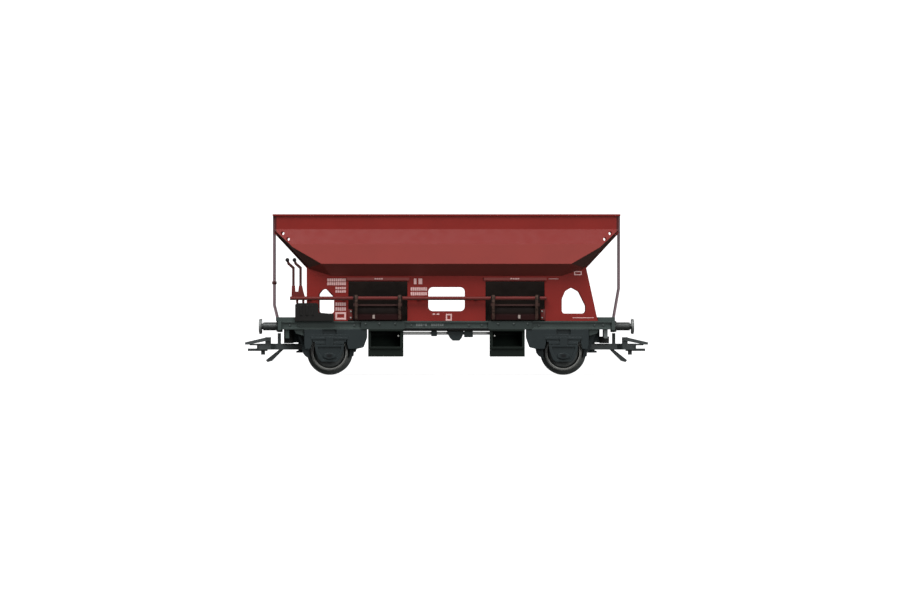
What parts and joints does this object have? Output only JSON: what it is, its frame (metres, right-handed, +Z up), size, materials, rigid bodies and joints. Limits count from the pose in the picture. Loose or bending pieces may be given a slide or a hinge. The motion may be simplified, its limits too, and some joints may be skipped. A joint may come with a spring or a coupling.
{
  "type": "scale model of a two-axle open hopper wagon",
  "caption": "Scale model railway open hopper wagon: faceted red hopper with end slopes, side discharge gates, platform levers, flanged wheelsets, buffers and couplers.",
  "frame": {"origin": "below the wagon's middle, at the height of the wheel flanges' lowest points", "axes": "+X along the wagon towards the end with no levers, +Y towards the far side, +Z up"},
  "size_m": [0.1192, 0.0352, 0.0474],
  "materials": {
    "body_red": "satin",
    "fittings_red": "satin",
    "frame_grey": "matte",
    "wheel_steel": "turned",
    "rod_grey": "matte",
    "bail_black": "satin"
  },
  "bodies": {
    "wagon": {"axle_guard_left_far": "frame_grey", "axle_guard_left_near": "frame_grey", "axle_guard_right_far": "frame_grey", "axle_guard_right_near": "frame_grey", "brake_hangers": "frame_grey", "brake_rod": "rod_grey", "brake_shoes_left": "frame_grey", "brake_shoes_right": "frame_grey", "buffers_left": "frame_grey", "buffers_right": "frame_grey", "centre_sill": "frame_grey", "chute_left_far": "frame_grey", "chute_left_near": "frame_grey", "chute_right_far": "frame_grey", "chute_right_near": "frame_grey", "corner_posts_left": "fittings_red", "corner_posts_right": "fittings_red", "coupler_pocket_left": "frame_grey", "coupler_pocket_right": "frame_grey", "cross_members": "frame_grey", "end_brackets_left": "frame_grey", "end_brackets_right": "frame_grey", "end_deck_left": "frame_grey", "end_deck_right": "frame_grey", "end_floor_left": "body_red", "end_floor_right": "body_red", "gate_left_far": "fittings_red", "gate_left_near": "fittings_red", "gate_right_far": "fittings_red", "gate_right_near": "fittings_red", "hand_lever_inner": "fittings_red", "hand_lever_outer": "fittings_red", "headstock_left": "frame_grey", "headstock_right": "frame_grey", "hopper": "body_red", "lever_console": "frame_grey", "lever_stand": "fittings_red", "middle_saddle": "body_red", "operating_rod_far": "fittings_red", "operating_rod_near": "fittings_red", "ridge_left": "body_red", "ridge_right": "body_red", "side_plate_far": "body_red", "side_plate_near": "body_red", "solebar_far": "frame_grey", "solebar_near": "frame_grey"},
    "wheelset_left": {"axle_left": "wheel_steel", "wheel_near_left": "wheel_steel", "wheel_far_left": "wheel_steel"},
    "coupler_left_body": {"coupler_left": "frame_grey"},
    "bail_left_body": {"coupler_bail_left": "bail_black"},
    "wheelset_right": {"axle_right": "wheel_steel", "wheel_near_right": "wheel_steel", "wheel_far_right": "wheel_steel"},
    "coupler_right_body": {"coupler_right": "frame_grey"},
    "bail_right_body": {"coupler_bail_right": "bail_black"}
  },
  "joints": [
    {"name": "axle_turn_left", "type": "hinge", "parent": "wagon", "child": "wheelset_left", "pos_m": [-0.0345, 0, 0.0067], "axis": [0, 1, 0], "continuous": true},
    {"name": "coupler_swing_left", "type": "hinge", "parent": "wagon", "child": "coupler_left_body", "pos_m": [-0.043, 0, 0.0083], "axis": [0, 0, 1], "range_deg": [-12, 12]},
    {"name": "bail_lift_left", "type": "hinge", "parent": "coupler_left_body", "child": "bail_left_body", "pos_m": [-0.0528, 0, 0.0104], "axis": [0, 1, 0], "range_deg": [0, 18]},
    {"name": "axle_turn_right", "type": "hinge", "parent": "wagon", "child": "wheelset_right", "pos_m": [0.0345, 0, 0.0067], "axis": [0, 1, 0], "continuous": true},
    {"name": "coupler_swing_right", "type": "hinge", "parent": "wagon", "child": "coupler_right_body", "pos_m": [0.043, 0, 0.0083], "axis": [0, 0, 1], "range_deg": [-12, 12]},
    {"name": "bail_lift_right", "type": "hinge", "parent": "coupler_right_body", "child": "bail_right_body", "pos_m": [0.0528, 0, 0.0104], "axis": [0, -1, 0], "range_deg": [0, 18]}
  ]
}
